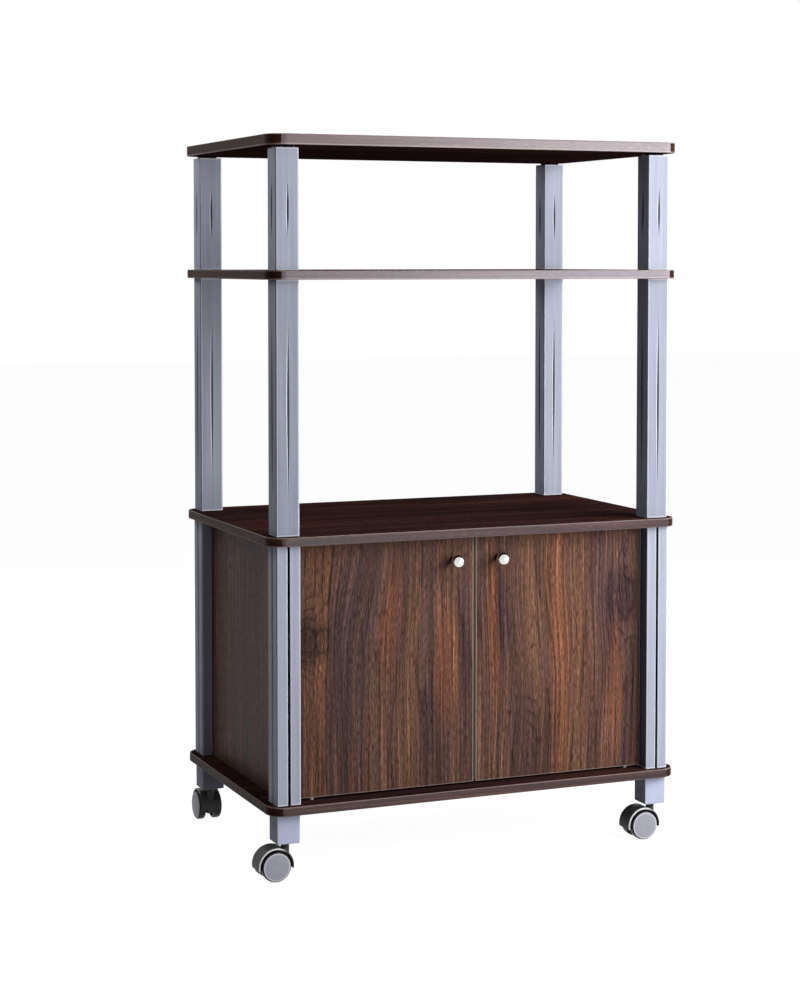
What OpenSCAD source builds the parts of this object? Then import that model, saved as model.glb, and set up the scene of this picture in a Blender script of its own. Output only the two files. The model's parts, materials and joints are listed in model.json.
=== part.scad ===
// Microwave cart: an open two-bay rack over a cabinet with two hinged doors, on twin-wheel casters.
// Millimetres. X runs left to right, Y front to back, Z up. The origin is on the floor, midway
// between the posts.

/* [Boards] */
// Width of every board, left to right
board_w = 600; // [480:5:760]
// Depth of every board, front to back
board_d = 375; // [320:5:480]
// Corner radius of the boards in plan
board_corner_r = 24; // [12:1:30]
// Thickness of the top shelf
top_t = 14; // [13:1:22]
// Thickness of the middle shelf, the cabinet top and the base board
shelf_t = 12; // [12:1:18]
// Rounding along the edges of the boards
edge_r = 1.2; // [0.4:0.2:2.4]

/* [Heights] */
// Height of the feet
foot_h = 39; // [38:1:80]
// Clear height inside the cabinet
cabinet_h = 339; // [260:1:480]
// Clear height of the microwave bay
bay_h = 332; // [270:1:480]
// Length of the short posts below the top shelf
upper_post_h = 158; // [130:1:320]

/* [Posts and feet] */
// Board edge to the axis of the posts
post_inset = 28; // [24:1:36]
// Width of the square posts above the cabinet
post_w = 32; // [30:1:36]
// Width of the square feet
foot_w = 32; // [28:1:36]
// Width of the cabinet posts, seen from the front
cabinet_post_w = 33; // [32:1:38]
// Depth of the cabinet posts, seen from the side
cabinet_post_d = 36; // [34:1:40]
// Corner rounding of posts and feet
post_corner_r = 2; // [1:0.2:3]
// Wall of the posts and feet
post_wall = 2.4; // [2:0.1:3]
// Bevel round the ends of posts and feet
end_bevel = 1; // [0.4:0.1:1.6]
// Length of the spindle groove in a middle post
long_groove = 240; // [120:5:250]
// Length of the spindle groove in an upper post
short_groove = 72; // [40:2:100]
// Widest part of a spindle groove
groove_w = 4; // [2:0.2:6]
// Deepest part of a spindle groove
groove_depth = 1.5; // [0.6:0.1:1.8]
// Play of the panels in the channels along the cabinet posts
channel_gap = 0.4; // [0.2:0.1:1]
// Depth of the channels along the cabinet posts
channel_depth = 8; // [6:0.5:8]

/* [Connectors] */
// Diameter of the connector studs that join posts through the boards
stud_d = 12; // [10:0.5:12]
// Length of stud inside each post
stud_reach = 22; // [14:1:24]
// Diameter of the collars below the top shelf
collar_d = 28; // [20:1:29]
// Thickness of the collars below the top shelf
collar_t = 3; // [2:0.5:6]

/* [Panels and doors] */
// Thickness of the side and back panels
panel_t = 3; // [2:0.1:5]
// Thickness of the doors
door_t = 12; // [11:0.5:14]
// Front of the cabinet posts to the front of the doors
door_recess = 16; // [12:1:18]
// Gap between a door and its post
door_side_gap = 2; // [1.5:0.5:4]
// Gap between the two doors
door_centre_gap = 3.5; // [2:0.5:6]
// Gap below the doors
door_bottom_gap = 3.5; // [3:0.5:6]
// Gap above the doors
door_top_gap = 2; // [1.5:0.5:4]
// Door edge to the pivot axis
pivot_inset = 20; // [12:1:22]
// Diameter of the hinge pins
pin_d = 4; // [3:0.5:5]

/* [Knobs] */
// Diameter of the ball of a knob
knob_d = 18.5; // [12:0.5:22]
// Door face to the front of a knob
knob_reach = 28; // [24:1:36]
// Door's free edge to the knob axis
knob_inset = 31.5; // [16:0.5:60]
// Door top to the knob axis
knob_drop = 30.5; // [16:0.5:120]

/* [Casters] */
// Diameter of the wheels
wheel_d = 40; // [32:1:50]
// Width of one wheel
wheel_w = 11; // [10:0.5:16]
// Thickness of the web between the two wheels
web_t = 12; // [7:0.5:14]
// Swivel axis to the wheel axis
trail = 16.5; // [14:0.5:20]
// Gap between the wheels and the hood
hood_gap = 2.4; // [1.6:0.1:4]
// Wall of the hood
hood_wall = 2; // [1.4:0.1:2]
// Width of the hood
hood_w = 29; // [20:1:34]
// Height of the neck between the hood and the foot
neck_h = 4.6; // [3:0.1:8]
// Diameter of the caster stems
stem_d = 8; // [6:0.5:8]
// Diameter of the wheel axles
axle_d = 5; // [4:0.5:6]
// Turn of the front left caster
front_left_turn = 0; // [-180:5:180]
// Turn of the front right caster
front_right_turn = 0; // [-180:5:180]
// Turn of the rear left caster
rear_left_turn = -90; // [-180:5:180]
// Turn of the rear right caster
rear_right_turn = 180; // [-180:5:180]

/* [Hidden] */
$fn = 64;

// Running clearance on the radius of every pin, stem and axle that something turns on
running_gap = 0.05;
// Clearance on the radius of a stud in its hole
stud_gap = 0.2;
// Clearance on the radius of a piece that is pressed in
press_gap = 0.02;
// Clearance between pieces that pass or meet without touching
close_gap = 0.3;
// Free depth behind a piece that sits in a blind hole
hole_spare = 0.5;
// Overlap that keeps cuts and joined shapes from ending on a surface
cut = 1;
// Flats that round a quarter of a board's edge
rim_steps = 3;

// Corner signs [left or right, front or rear]
FL = [-1, -1];
FR = [1, -1];
RL = [-1, 1];
RR = [1, 1];
CORNERS = [FL, FR, RL, RR];

// Heights, from the floor up
wheel_r = wheel_d / 2;
hood_r = wheel_r + hood_gap + hood_wall;
foot_z = wheel_r + hood_r + neck_h;
base_z = foot_z + foot_h;
cabinet_z = base_z + shelf_t;
cabinet_top_z = cabinet_z + cabinet_h;
bay_z = cabinet_top_z + shelf_t;
middle_z = bay_z + bay_h;
upper_z = middle_z + shelf_t;
collar_z = upper_z + upper_post_h;
top_z = collar_z + collar_t;

// Axes of the posts
post_x = board_w / 2 - post_inset;
post_y = board_d / 2 - post_inset;

// Studs and the bores they sit in
stud_hole_d = stud_d + 2 * stud_gap;
top_stud_h = 9;
stud_bevel = 1;
sleeve_wall = 2.2;
sleeve_d = stud_hole_d + 2 * sleeve_wall;
sleeve_h = stud_reach + 4;
sleeve_inset = 2;
rib_t = 1.8;
deck_t = 3;
inner_corner_r = 1;

// Cabinet posts
channel_w = panel_t + channel_gap;
channel_wall = 1.8;
channel_lip = 0.6;

// Cabinet opening and doors
opening_half_w = post_x - cabinet_post_w / 2;
door_front_y = -post_y - cabinet_post_d / 2 + door_recess;
door_y = door_front_y + door_t / 2;
door_w = opening_half_w - door_side_gap - door_centre_gap / 2;
door_z = cabinet_z + door_bottom_gap;
door_h = cabinet_h - door_bottom_gap - door_top_gap;
door_edge_r = 0.8;
pivot_x = opening_half_w - door_side_gap - pivot_inset;

// Hinge pins and the bushes that turn on them
pin_in_board = 8.5;
pin_in_door = 7;
pin_collar_d = pin_d + 2.5;
pin_collar_h = 2.2;
bush_d = pin_d + 4;
bush_h = 9;
bush_flange_d = bush_d + 2;
bush_flange_t = 0.8;

// Knobs and their screws
knob_x = door_centre_gap / 2 + knob_inset;
knob_z = door_z + door_h - knob_drop;
knob_neck_d = 6.6;
knob_waist = 0.4;
knob_waist_y = 6;
knob_base_d = 9;
knob_base_t = 2;
knob_base_bevel = 1;
knob_screw_d = 4;
knob_screw_depth = 12;
knob_head_d = 8;
knob_head_h = 2.4;

// Magnetic catch under the front of the cabinet top
catch_w = 64;
catch_d = 13;
catch_h = 12;
catch_corner_r = 1.5;
catch_ear_w = 11;
catch_ear_h = 3;
magnet_x = 11;
magnet_w = 12;
magnet_h = 8;
magnet_d = 8;
magnet_proud = 0.4;
magnet_gap = 0.1;
strike_w = 15;
strike_h = 9;
strike_t = 1.2;
strike_pin_d = 4;
strike_corner_r = 1.5;
strike_pin_h = 6;
catch_y = door_front_y + door_t + strike_t + close_gap + magnet_proud;
catch_screw_x = (catch_w - catch_ear_w) / 2;
catch_screw_d = 3.5;
catch_screw_in_board = 8;
catch_head_d = 6.8;
catch_head_h = 2;
strike_z = cabinet_top_z - (catch_h + door_top_gap) / 2;

// Panels, held in the channels of the cabinet posts
panel_in_channel = channel_depth - hole_spare;
panel_h = cabinet_h - close_gap;
side_panel_l = 2 * (post_y - cabinet_post_d / 2 + panel_in_channel);
back_panel_l = 2 * (opening_half_w + panel_in_channel);

// Casters, drawn about the swivel axis with the wheels trailing towards -X
CASTER_TURNS = [front_left_turn, front_right_turn, rear_left_turn, rear_right_turn];
wheel_gap = 0.5;
wheel_in_y = web_t / 2 + wheel_gap;
hood_front_drop = 3;
hood_rear_drop = 4.5;
lip_bevel = 0.7;
web_drop = 8;
neck_wall = 1.6;
neck_d = stem_d + 2 * neck_wall;
stem_collar_t = 1.1;
neck_top_z = foot_z - stem_collar_t - close_gap;
stem_in_socket = 24;
socket_wall = 1.5;
socket_d = stem_d + 2 * socket_wall;
socket_flange_d = socket_d + 4;
socket_flange_t = 1.2;
socket_h = 26;
foot_boss_d = socket_flange_d + 2 * sleeve_wall;
foot_stud_h = foot_h - socket_h - 2;
wheel_rim_t = 3;
wheel_disc_t = 3;
wheel_hub_d = 11;
wheel_edge_r = 2;
wheel_ribs = 6;
wheel_rib_t = 1.5;

// Domed cap on the outer side of a wheel
cap_r = wheel_r - 1.2;
cap_proud = 0.6;
cap_bevel = 0.5;
cap_dome_h = 0.6;
cap_dome_r = (cap_r * cap_r + cap_dome_h * cap_dome_h) / (2 * cap_dome_h);

axle_l = 2 * (wheel_in_y + wheel_w - wheel_disc_t - 1);

// Floor of the stem's bore, just above the space that the wheels turn in
stem_bore_r = stem_d / 2 + running_gap;
stem_floor_z = wheel_r + sqrt(pow(wheel_r + wheel_gap, 2) - pow(trail - stem_bore_r, 2)) + 0.5;

// ---------------------------------------------------------------- shared shapes

module at_posts() {
    for (c = CORNERS) translate([c[0] * post_x, c[1] * post_y, 0]) children();
}

module at_post(c) {
    translate([c[0] * post_x, c[1] * post_y, 0]) children();
}

module at_caster(i) {
    at_post(CORNERS[i]) rotate(CASTER_TURNS[i]) children();
}

// Rectangle with round corners, centred
module round_rect(w, d, r) {
    square([w - 2 * r, d], center = true);
    square([w, d - 2 * r], center = true);
    for (x = [-1, 1], y = [-1, 1]) translate([x * (w / 2 - r), y * (d / 2 - r)]) circle(r);
}

// Outer rim of a board's section at distance l, from the underside up, rounded in flats
function rim(l, t, r) = concat(
    [for (a = [-90:90 / rim_steps:0]) [l - r + r * cos(a), r + r * sin(a)]],
    [for (a = [0:90 / rim_steps:90]) [l - r + r * cos(a), t - r + r * sin(a)]]);

// Board with round corners and rounded edges, standing on z = 0
module board_blank(t) {
    half_w = board_w / 2;
    half_d = board_d / 2;
    c = board_corner_r;
    rotate([90, 0, 0]) linear_extrude(2 * (half_d - c), center = true) board_section(half_w, t);
    rotate([90, 0, 90]) linear_extrude(2 * (half_w - c), center = true) board_section(half_d, t);
    for (p = CORNERS)
        translate([p[0] * (half_w - c), p[1] * (half_d - c), 0])
            rotate_extrude() polygon(concat([[0, 0]], rim(c, t, edge_r), [[0, t]]));
}

// Section across a board, from -l to l
module board_section(l, t) {
    right = rim(l, t, edge_r);
    left = [for (i = [len(right) - 1:-1:0]) [-right[i][0], right[i][1]]];
    polygon(concat(right, left));
}

// Column on z = 0 with round vertical corners and bevelled ends
module bevelled_column(w, h) {
    difference() {
        linear_extrude(h) round_rect(w, w, post_corner_r);
        for (turn = [0:90:270])
            rotate(turn) {
                translate([w / 2, 0, h]) end_bevel_cutter(w);
                translate([w / 2, 0, 0]) end_bevel_cutter(w);
            }
    }
}

// Square bar on edge whose corner takes end_bevel off an end edge
module end_bevel_cutter(w) {
    rotate([90, 0, 0])
        linear_extrude(w + 2 * cut, center = true)
            polygon([[-end_bevel, 0], [0, -end_bevel], [end_bevel, 0], [0, end_bevel]]);
}

// Part of a large disc with a V rim, which cuts a spindle groove of length l into the face x = 0
module spindle_cutter(l) {
    disc_r = l * l / (8 * groove_depth) + groove_depth / 2;
    spare_angle = 0.4;
    sweep = 2 * asin(l / (2 * disc_r)) + spare_angle;
    translate([disc_r - groove_depth, 0, 0])
        rotate([90, 0, 0])
            rotate([0, 0, 180 - sweep / 2])
                rotate_extrude(angle = sweep, $fn = 1440)
                    polygon([[disc_r, 0], [disc_r - 2 * groove_depth, groove_w],
                        [disc_r - 2 * groove_depth, -groove_w]]);
}

// Sleeve and four ribs that hold a stud inside a hollow post
module stud_sleeve(w, h) {
    cylinder(d = sleeve_d, h = h);
    for (turn = [0, 90])
        rotate(turn) translate([-(w / 2 - post_wall / 2), -rib_t / 2, 0]) cube([w - post_wall, rib_t, h]);
}

// Moulded post: hollow, closed at the top, ribbed sleeves at both ends, a groove in each face
module moulded_post(h, groove) {
    inner = post_w - 2 * post_wall;
    difference() {
        union() {
            difference() {
                bevelled_column(post_w, h);
                translate([0, 0, -cut])
                    linear_extrude(h - deck_t + cut) round_rect(inner, inner, inner_corner_r);
            }
            translate([0, 0, sleeve_inset]) stud_sleeve(post_w, sleeve_h);
            translate([0, 0, h - deck_t - sleeve_h + cut]) stud_sleeve(post_w, sleeve_h);
        }
        translate([0, 0, -cut]) cylinder(d = stud_hole_d, h = h + 2 * cut);
        for (turn = [0:90:270])
            rotate(turn) translate([-post_w / 2, 0, h / 2]) spindle_cutter(groove);
    }
}

// Section of a cabinet post: four channels, four hollow cells and a stud bore
module cabinet_post_section() {
    half = [cabinet_post_w / 2, cabinet_post_d / 2];
    cell_in = channel_w / 2 + channel_wall;
    cell = half - [1, 1] * (post_wall + cell_in);
    difference() {
        round_rect(cabinet_post_w, cabinet_post_d, post_corner_r);
        circle(d = stud_hole_d);
        for (s = [-1, 1]) {
            channel_2d(half[0], 0, s);
            channel_2d(half[1], 90, s);
        }
        for (p = CORNERS)
            difference() {
                translate([p[0] * (cell_in + cell[0] / 2), p[1] * (cell_in + cell[1] / 2)])
                    square(cell, center = true);
                circle(d = sleeve_d);
            }
    }
}

// One channel, cut inwards from the face at distance half along the turned X axis
module channel_2d(half, turn, s) {
    w = channel_w / 2;
    floor_x = half - channel_depth;
    lip_x = half - channel_lip;
    mouth_w = w + channel_lip + cut;
    rotate(turn)
        mirror([s < 0 ? 1 : 0, 0])
            polygon([[floor_x, -w], [lip_x, -w], [half + cut, -mouth_w],
                [half + cut, mouth_w], [lip_x, w], [floor_x, w]]);
}

module cabinet_post(c) {
    color("silver")
        at_post(c) translate([0, 0, cabinet_z]) linear_extrude(cabinet_h) cabinet_post_section();
}

module middle_post(c) {
    color("silver") at_post(c) translate([0, 0, bay_z]) moulded_post(bay_h, long_groove);
}

module upper_post(c) {
    color("silver") at_post(c) translate([0, 0, upper_z]) moulded_post(upper_post_h, short_groove);
}

// Foot: closed at the top, open below, one sleeve for the stud above and the caster socket below
module foot(c) {
    inner = foot_w - 2 * post_wall;
    flange_seat = socket_flange_d / 2 + stud_gap;
    color("silver")
        at_post(c)
            translate([0, 0, foot_z])
                difference() {
                    union() {
                        difference() {
                            bevelled_column(foot_w, foot_h);
                            translate([0, 0, -cut])
                                linear_extrude(foot_h - deck_t + cut)
                                    round_rect(inner, inner, inner_corner_r);
                        }
                        cylinder(d = foot_boss_d, h = foot_h - deck_t + cut);
                        for (turn = [0, 90])
                            rotate(turn)
                                translate([-(foot_w - post_wall) / 2, -rib_t / 2, sleeve_inset])
                                    cube([foot_w - post_wall, rib_t, foot_h - deck_t - sleeve_inset + cut]);
                    }
                    translate([0, 0, foot_h - foot_stud_h - hole_spare])
                        cylinder(d = stud_hole_d, h = foot_h);
                    translate([0, 0, -cut]) cylinder(d = socket_d + 2 * press_gap, h = foot_h);
                    translate([0, 0, -cut]) cylinder(r = flange_seat, h = socket_flange_t + cut);
                }
}

// ---------------------------------------------------------------- boards

module top_shelf() {
    color("saddlebrown")
        difference() {
            translate([0, 0, top_z]) board_blank(top_t);
            at_posts()
                translate([0, 0, top_z - cut])
                    cylinder(d = stud_hole_d, h = top_stud_h + hole_spare + cut);
        }
}

module shelf(z) {
    difference() {
        translate([0, 0, z]) board_blank(shelf_t);
        at_posts() translate([0, 0, z - cut]) cylinder(d = stud_hole_d, h = shelf_t + 2 * cut);
    }
}

module middle_shelf() {
    color("saddlebrown") shelf(middle_z);
}

module cabinet_top() {
    color("saddlebrown")
        difference() {
            shelf(cabinet_top_z);
            for (s = [-1, 1]) {
                translate([s * pivot_x, door_y, cabinet_top_z - cut])
                    cylinder(d = pin_d + 2 * press_gap, h = pin_in_board + cut);
                translate([s * catch_screw_x, catch_y + catch_d / 2, cabinet_top_z - cut])
                    cylinder(d = catch_screw_d + 2 * press_gap, h = catch_screw_in_board + cut);
            }
        }
}

module base_board() {
    color("saddlebrown")
        difference() {
            shelf(base_z);
            for (s = [-1, 1])
                translate([s * pivot_x, door_y, cabinet_z - pin_in_board])
                    cylinder(d = pin_d + 2 * press_gap, h = pin_in_board + cut);
        }
}

// ---------------------------------------------------------------- connectors

// Round bar with bevelled ends, from z0 to z1
module stud(z0, z1) {
    r = stud_d / 2;
    translate([0, 0, z0])
        rotate_extrude()
            polygon([[0, 0], [r - stud_bevel, 0], [r, stud_bevel], [r, z1 - z0 - stud_bevel],
                [r - stud_bevel, z1 - z0], [0, z1 - z0]]);
}

// Studs with a round-rimmed collar that holds the top shelf just clear of the posts
module top_connectors() {
    rim_r = collar_t / 2;
    color("lightgray")
        at_posts() {
            stud(collar_z - stud_reach, top_z + top_stud_h);
            translate([0, 0, collar_z])
                rotate_extrude() {
                    square([collar_d / 2 - rim_r, collar_t]);
                    translate([collar_d / 2 - rim_r, rim_r]) circle(rim_r);
                }
        }
}

module middle_connectors() {
    color("dimgray") at_posts() stud(middle_z - stud_reach, upper_z + stud_reach);
}

module cabinet_connectors() {
    color("dimgray") at_posts() stud(cabinet_top_z - stud_reach, bay_z + stud_reach);
}

module base_connectors() {
    color("dimgray") at_posts() stud(base_z - foot_stud_h, cabinet_z + stud_reach);
}

// ---------------------------------------------------------------- panels

module side_panel(s) {
    color("sienna")
        translate([s * post_x - panel_t / 2, -side_panel_l / 2, cabinet_z])
            cube([panel_t, side_panel_l, panel_h]);
}

module left_side_panel() {
    side_panel(-1);
}

module right_side_panel() {
    side_panel(1);
}

module back_panel() {
    color("sienna")
        translate([-back_panel_l / 2, post_y - panel_t / 2, cabinet_z])
            cube([back_panel_l, panel_t, panel_h]);
}

// ---------------------------------------------------------------- doors

// Door on side s, with holes for its bushes, knob screw and strike pin
module door(s) {
    bush_hole = [bush_d / 2 + press_gap, bush_h + hole_spare + cut];
    color("sienna")
        difference() {
            translate([s * (door_centre_gap + door_w) / 2, door_y, door_z])
                linear_extrude(door_h) round_rect(door_w, door_t, door_edge_r);
            translate([s * pivot_x, door_y, 0]) {
                translate([0, 0, door_z - cut]) cylinder(r = bush_hole[0], h = bush_hole[1]);
                translate([0, 0, door_z + door_h + cut - bush_hole[1]])
                    cylinder(r = bush_hole[0], h = bush_hole[1]);
            }
            translate([s * knob_x, door_front_y - cut, knob_z])
                rotate([-90, 0, 0]) cylinder(d = knob_screw_d + 2 * stud_gap, h = door_t + 2 * cut);
            translate([s * magnet_x, door_front_y + door_t - strike_pin_h - hole_spare, strike_z])
                rotate([-90, 0, 0])
                    cylinder(d = strike_pin_d + 2 * press_gap, h = strike_pin_h + hole_spare + cut);
        }
}

module left_door() {
    door(-1);
}

module right_door() {
    door(1);
}

// Ball knob on side s: round base, waisted neck and ball, bored for its screw
module knob(s) {
    ball_y = knob_reach - knob_d / 2;
    base_r = knob_base_d / 2;
    neck_r = knob_neck_d / 2;
    color("gainsboro")
        translate([s * knob_x, door_front_y, knob_z])
            rotate([90, 0, 0])
                difference() {
                    rotate_extrude() {
                        polygon([[0, 0], [base_r, 0], [base_r, knob_base_t - knob_base_bevel],
                            [base_r - knob_base_bevel, knob_base_t], [neck_r + knob_waist, knob_base_t],
                            [neck_r - knob_waist, knob_waist_y], [neck_r + knob_waist, ball_y],
                            [0, ball_y]]);
                        intersection() {
                            translate([0, ball_y]) circle(d = knob_d);
                            square([knob_d, knob_reach + cut]);
                        }
                    }
                    translate([0, 0, -cut])
                        cylinder(d = knob_screw_d + 2 * press_gap, h = knob_screw_depth + hole_spare + cut);
                }
}

module left_knob() {
    knob(-1);
}

module right_knob() {
    knob(1);
}

// Pan-head screw: shank upwards from z = 0, head with a cross recess below
module pan_screw(d, l, head_d, head_h) {
    recess_l = 0.55 * head_d;
    recess_w = head_d / 8;
    difference() {
        union() {
            cylinder(d = d, h = l);
            translate([0, 0, -head_h])
                rotate_extrude()
                    polygon([[0, 0], [(head_d - head_h) / 2, 0], [head_d / 2, head_h / 2],
                        [head_d / 2, head_h], [0, head_h]]);
        }
        for (turn = [0, 90])
            rotate(turn)
                translate([-recess_l / 2, -recess_w / 2, -head_h - cut])
                    cube([recess_l, recess_w, head_h / 2 + cut]);
    }
}

// Screw through the door into the knob
module knob_screw(s) {
    color("lightgray")
        translate([s * knob_x, door_front_y + door_t, knob_z])
            rotate([90, 0, 0])
                pan_screw(knob_screw_d, door_t + knob_screw_depth, knob_head_d, knob_head_h);
}

module left_knob_screw() {
    knob_screw(-1);
}

module right_knob_screw() {
    knob_screw(1);
}

// Flanged bush, flange on z = 0 side, bored for the hinge pin
module bush() {
    difference() {
        union() {
            translate([0, 0, -bush_flange_t]) cylinder(d = bush_flange_d, h = bush_flange_t);
            cylinder(d = bush_d, h = bush_h);
        }
        translate([0, 0, -bush_flange_t - cut])
            cylinder(d = pin_d + 2 * running_gap, h = bush_flange_t + pin_in_door + 1 + cut);
    }
}

module door_bushes(s) {
    color("ivory")
        translate([s * pivot_x, door_y, 0]) {
            translate([0, 0, door_z]) bush();
            translate([0, 0, door_z + door_h]) mirror([0, 0, 1]) bush();
        }
}

module left_door_bushes() {
    door_bushes(-1);
}

module right_door_bushes() {
    door_bushes(1);
}

// Hinge pins: pressed into the boards, the lower ones with a collar that carries the door
module hinge_pins() {
    color("lightgray")
        for (s = [-1, 1])
            translate([s * pivot_x, door_y, 0]) {
                translate([0, 0, cabinet_z - pin_in_board])
                    cylinder(d = pin_d, h = pin_in_board + door_bottom_gap + pin_in_door);
                translate([0, 0, cabinet_z]) cylinder(d = pin_collar_d, h = pin_collar_h);
                translate([0, 0, door_z + door_h - pin_in_door])
                    cylinder(d = pin_d, h = pin_in_door + door_top_gap + pin_in_board);
            }
}

// ---------------------------------------------------------------- magnetic catch

// Body with a pocket for each magnet, and an ear with a screw hole at each end
module catch_housing() {
    body_w = catch_w - 2 * catch_ear_w;
    pocket = [magnet_w + 2 * magnet_gap, magnet_d + magnet_gap + cut, magnet_h + 2 * magnet_gap];
    color("linen")
        translate([0, catch_y, cabinet_top_z])
            difference() {
                union() {
                    translate([0, catch_d / 2, -catch_h])
                        linear_extrude(catch_h) round_rect(body_w, catch_d, catch_corner_r);
                    translate([0, catch_d / 2, -catch_ear_h])
                        linear_extrude(catch_ear_h) round_rect(catch_w, catch_d, catch_corner_r);
                }
                for (s = [-1, 1]) {
                    translate([s * magnet_x, (magnet_d + magnet_gap - cut) / 2, strike_z - cabinet_top_z])
                        cube(pocket, center = true);
                    translate([s * catch_screw_x, catch_d / 2, -catch_ear_h - cut])
                        cylinder(d = catch_screw_d + 2 * close_gap, h = catch_ear_h + 2 * cut);
                }
            }
}

module catch_magnets() {
    color("slategray")
        for (s = [-1, 1])
            translate([s * magnet_x - magnet_w / 2, catch_y - magnet_proud, strike_z - magnet_h / 2])
                cube([magnet_w, magnet_d + magnet_proud, magnet_h]);
}

module catch_screws() {
    color("lightgray")
        for (s = [-1, 1])
            translate([s * catch_screw_x, catch_y + catch_d / 2, cabinet_top_z - catch_ear_h])
                pan_screw(catch_screw_d, catch_ear_h + catch_screw_in_board - hole_spare,
                    catch_head_d, catch_head_h);
}

// Strike plate with a pin pressed into the back of the door
module strike_plate(s) {
    color("lightgray")
        translate([s * magnet_x, door_front_y + door_t, strike_z])
            rotate([-90, 0, 0]) {
                linear_extrude(strike_t) round_rect(strike_w, strike_h, strike_corner_r);
                translate([0, 0, -strike_pin_h]) cylinder(d = strike_pin_d, h = strike_pin_h);
            }
}

module left_strike_plate() {
    strike_plate(-1);
}

module right_strike_plate() {
    strike_plate(1);
}

// ---------------------------------------------------------------- casters

module caster_sockets() {
    color("dimgray")
        at_posts()
            translate([0, 0, foot_z])
                difference() {
                    union() {
                        cylinder(d = socket_d, h = socket_h);
                        cylinder(d = socket_flange_d, h = socket_flange_t);
                    }
                    translate([0, 0, -cut])
                        cylinder(d = stem_d + 2 * press_gap, h = stem_in_socket + hole_spare + cut);
                }
}

module caster_stems() {
    color("lightgray")
        at_posts() {
            translate([0, 0, stem_floor_z + close_gap])
                cylinder(d = stem_d, h = foot_z + stem_in_socket - stem_floor_z - close_gap);
            translate([0, 0, foot_z - stem_collar_t]) cylinder(d = neck_d, h = stem_collar_t);
        }
}

// Places a shape drawn in the XZ plane about the wheel axis, thickness t about y = 0
module across_wheels(t) {
    translate([-trail, 0, wheel_r])
        rotate([90, 0, 0])
            linear_extrude(t, center = true) children();
}

// Everything above the line from the hood's rear end to its front end
module above_hood_ends() {
    reach = hood_r + cut;
    polygon([[-reach, -hood_rear_drop], [reach, -hood_front_drop], [reach, reach], [-reach, reach]]);
}

// Section through the hood's wall, bevelled at both lips
module hood_section() {
    half_w = hood_w / 2;
    polygon([[hood_r - hood_wall, -half_w], [hood_r - lip_bevel, -half_w], [hood_r, lip_bevel - half_w],
        [hood_r, half_w - lip_bevel], [hood_r - lip_bevel, half_w], [hood_r - hood_wall, half_w]]);
}

module caster_housing(i) {
    color("dimgray")
        at_caster(i)
            difference() {
                union() {
                    intersection() {
                        translate([-trail, 0, wheel_r]) rotate([90, 0, 0]) rotate_extrude() hood_section();
                        across_wheels(hood_w + 2 * cut) above_hood_ends();
                    }
                    across_wheels(web_t)
                        intersection() {
                            circle(hood_r - hood_wall / 2);
                            translate([-hood_r, -web_drop]) square([2 * hood_r, hood_r + web_drop]);
                        }
                    translate([0, 0, wheel_r]) cylinder(d = neck_d, h = neck_top_z - wheel_r);
                }
                for (s = [-1, 1])
                    translate([-trail, s * (web_t / 2 + hood_w / 2), wheel_r])
                        rotate([90, 0, 0]) cylinder(r = wheel_r + wheel_gap, h = hood_w, center = true);
                translate([0, 0, stem_floor_z])
                    cylinder(r = stem_bore_r, h = neck_top_z - stem_floor_z + cut);
                across_wheels(hood_w) circle(d = axle_d + 2 * press_gap);
            }
}

module caster_axle(i) {
    color("lightgray") at_caster(i) across_wheels(axle_l) circle(d = axle_d);
}

// Wheel on side s of the web: rounded tread and domed cap outside, hub and ribs inside
module wheel(i, s) {
    bore_h = wheel_w - wheel_disc_t + hole_spare;
    rib_in = wheel_hub_d / 2 - cut;
    rib_out = wheel_r - wheel_rim_t + cut;
    color("dimgray")
        at_caster(i)
            translate([-trail, s * wheel_in_y, wheel_r])
                rotate([-90 * s, 0, 0])
                    difference() {
                        union() {
                            rotate_extrude() wheel_section();
                            for (k = [0:wheel_ribs - 1])
                                rotate(k * 360 / wheel_ribs)
                                    translate([rib_in, -wheel_rib_t / 2, 1])
                                        cube([rib_out - rib_in, wheel_rib_t, wheel_w - wheel_disc_t]);
                        }
                        translate([0, 0, -cut])
                            cylinder(d = axle_d + 2 * running_gap, h = bore_h + cut);
                    }
}

// Half section of a wheel: tread with rounded edges, hollow inside, closed by a domed cap
module wheel_section() {
    e = wheel_edge_r;
    tread_w = wheel_w - cap_dome_h - cap_proud;
    cap_edge_y = tread_w + cap_proud;
    difference() {
        union() {
            square([wheel_r - e, tread_w]);
            translate([0, e]) square([wheel_r, tread_w - 2 * e]);
            for (y = [e, tread_w - e]) translate([wheel_r - e, y]) circle(e);
            intersection() {
                translate([0, wheel_w - cap_dome_r]) circle(cap_dome_r, $fn = 720);
                polygon([[0, tread_w - cut], [cap_r, tread_w - cut], [cap_r, cap_edge_y - cap_bevel],
                    [cap_r - 2 * cap_bevel, cap_edge_y + cap_bevel], [0, wheel_w + cut]]);
            }
        }
        translate([wheel_hub_d / 2, -cut])
            square([wheel_r - wheel_rim_t - wheel_hub_d / 2, wheel_w - wheel_disc_t + cut]);
    }
}

// ---------------------------------------------------------------- sub-parts

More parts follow.
